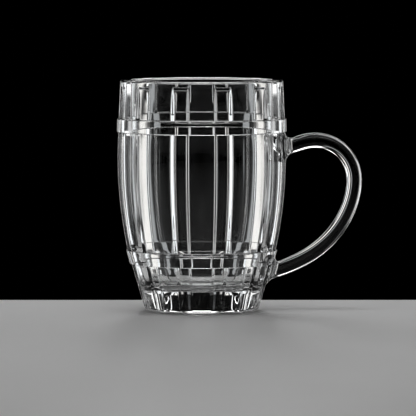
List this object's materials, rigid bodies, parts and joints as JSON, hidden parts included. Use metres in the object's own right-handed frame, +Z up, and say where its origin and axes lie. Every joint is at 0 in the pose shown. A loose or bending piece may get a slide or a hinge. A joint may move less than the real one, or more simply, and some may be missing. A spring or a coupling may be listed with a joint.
{
  "type": "glass mug",
  "caption": "Heavy clear glass drinking mug shaped like a barrel, with pressed staves and hoops and a rounded rod handle stuck on one side.",
  "frame": {"origin": "on the mug's axis, in the plane it stands on", "axes": "+Z up the mug's axis towards the rim, +X out along the handle, so the front view looks along +Y"},
  "size_m": [0.1327, 0.092, 0.125],
  "materials": {
    "body_glass": "clear pressed soda-lime glass, fire polished, with soft mould waves",
    "handle_glass": "clear drawn soda-lime glass rod, fire polished and smooth"
  },
  "bodies": {
    "root": {"mug_body": "body_glass", "handle": "handle_glass"}
  },
  "joints": []
}
